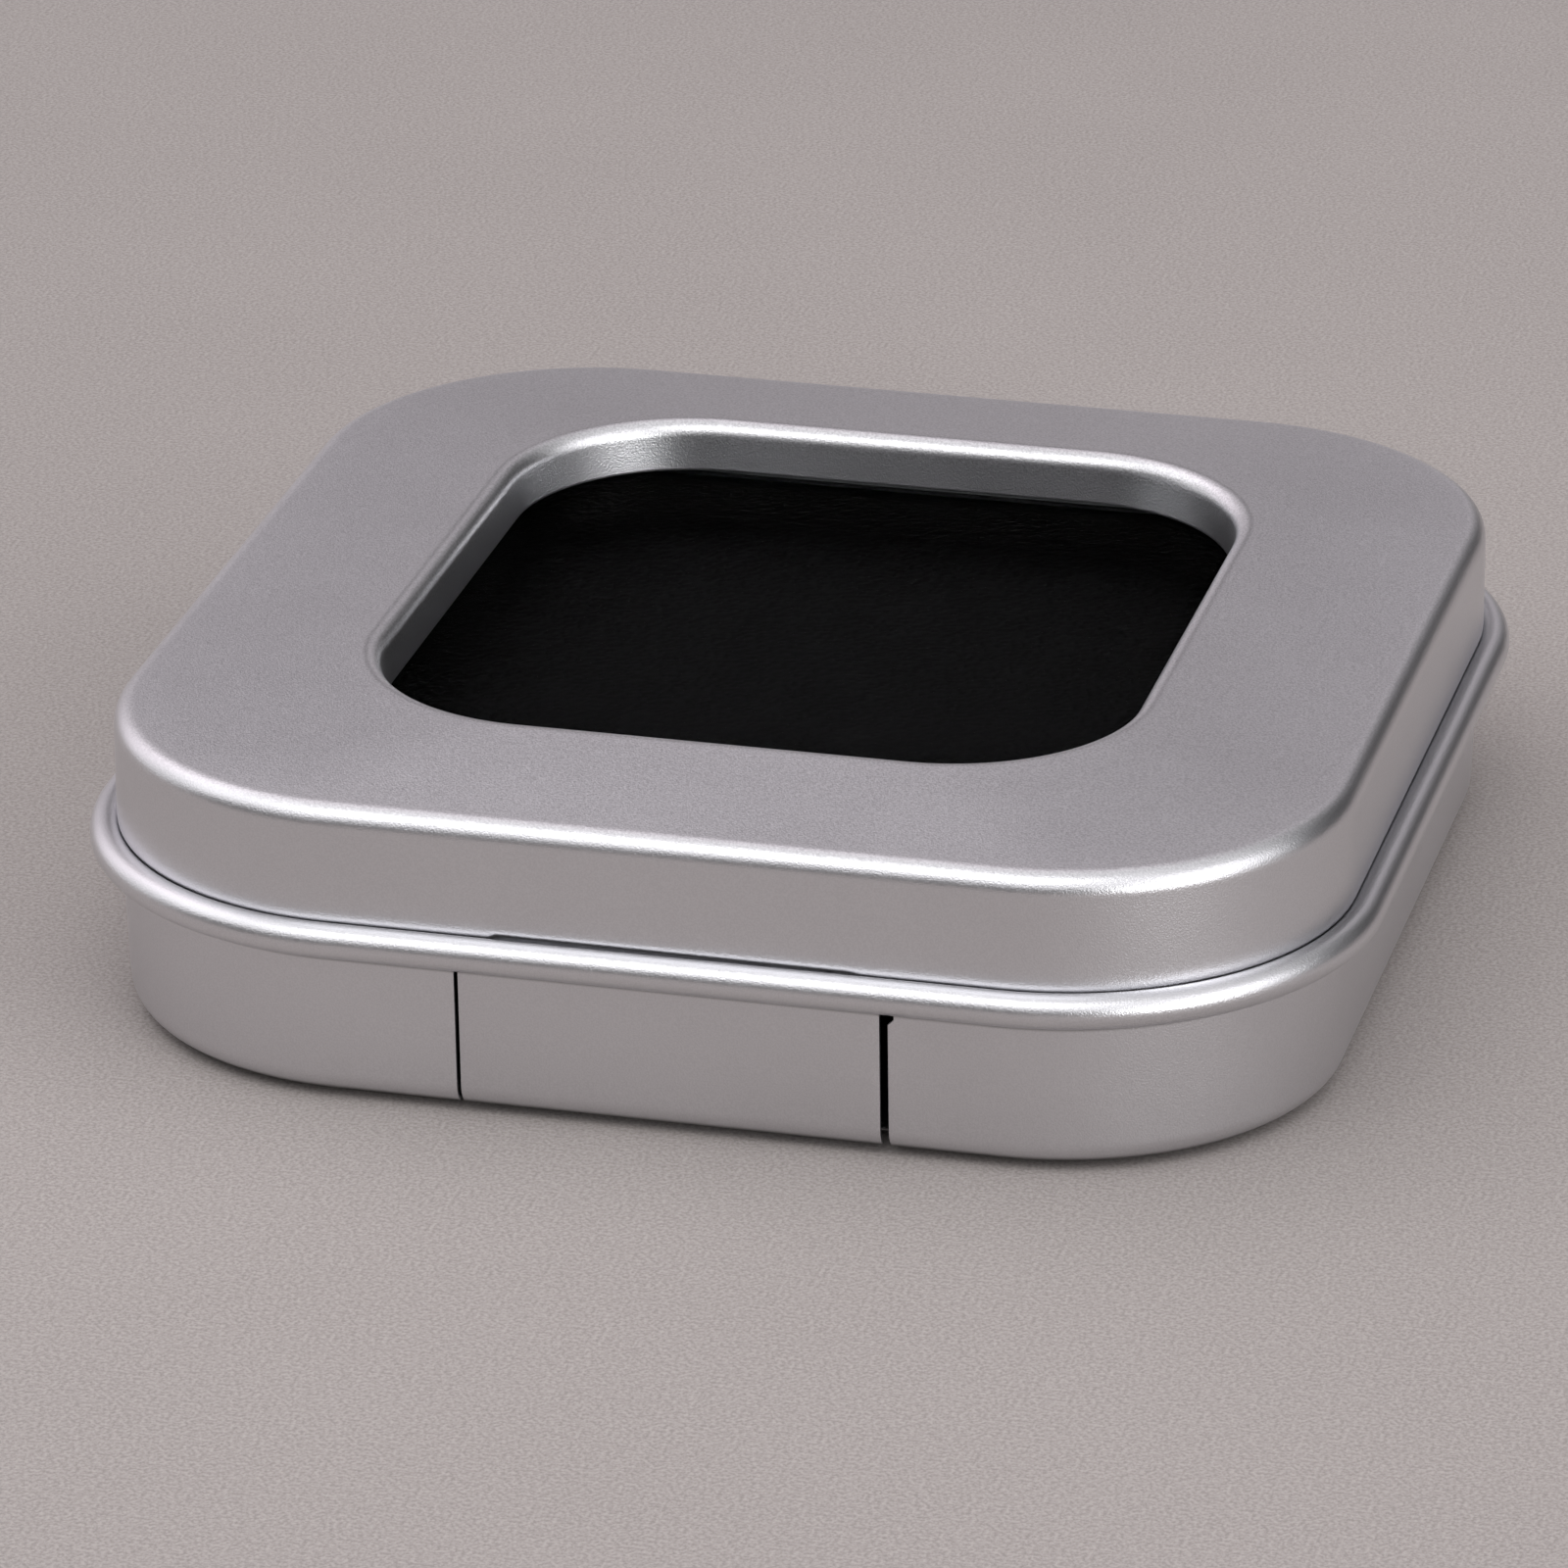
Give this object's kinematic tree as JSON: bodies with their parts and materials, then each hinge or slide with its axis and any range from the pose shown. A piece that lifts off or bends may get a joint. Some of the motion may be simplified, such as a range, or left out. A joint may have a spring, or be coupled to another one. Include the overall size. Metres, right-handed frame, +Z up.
{
  "type": "gemstone case",
  "caption": "Square pressed-tin case with round corners, a rolled rim bead and a hinged lid that holds a clear window over a black foam pad for stones.",
  "frame": {"origin": "middle of the underside, on the surface that the case stands on", "axes": "+Z up, +Y towards the hinge side, +X along the hinge"},
  "size_m": [0.0898, 0.0898, 0.0231],
  "materials": {
    "tinplate": "fine satin",
    "clear_sheet": "clear gloss",
    "tape": "matte",
    "foam": "soft matte"
  },
  "bodies": {
    "base": {"base_tray": "tinplate", "foam_pad": "foam"},
    "lid": {"lid_shell": "tinplate", "window_pane": "clear_sheet", "window_gasket": "tape"}
  },
  "joints": [
    {"name": "lid_hinge", "type": "hinge", "parent": "base", "child": "lid", "pos_m": [0, 0.0437, 0.01245], "axis": [-1, 0, 0], "range_deg": [0, 180]}
  ]
}
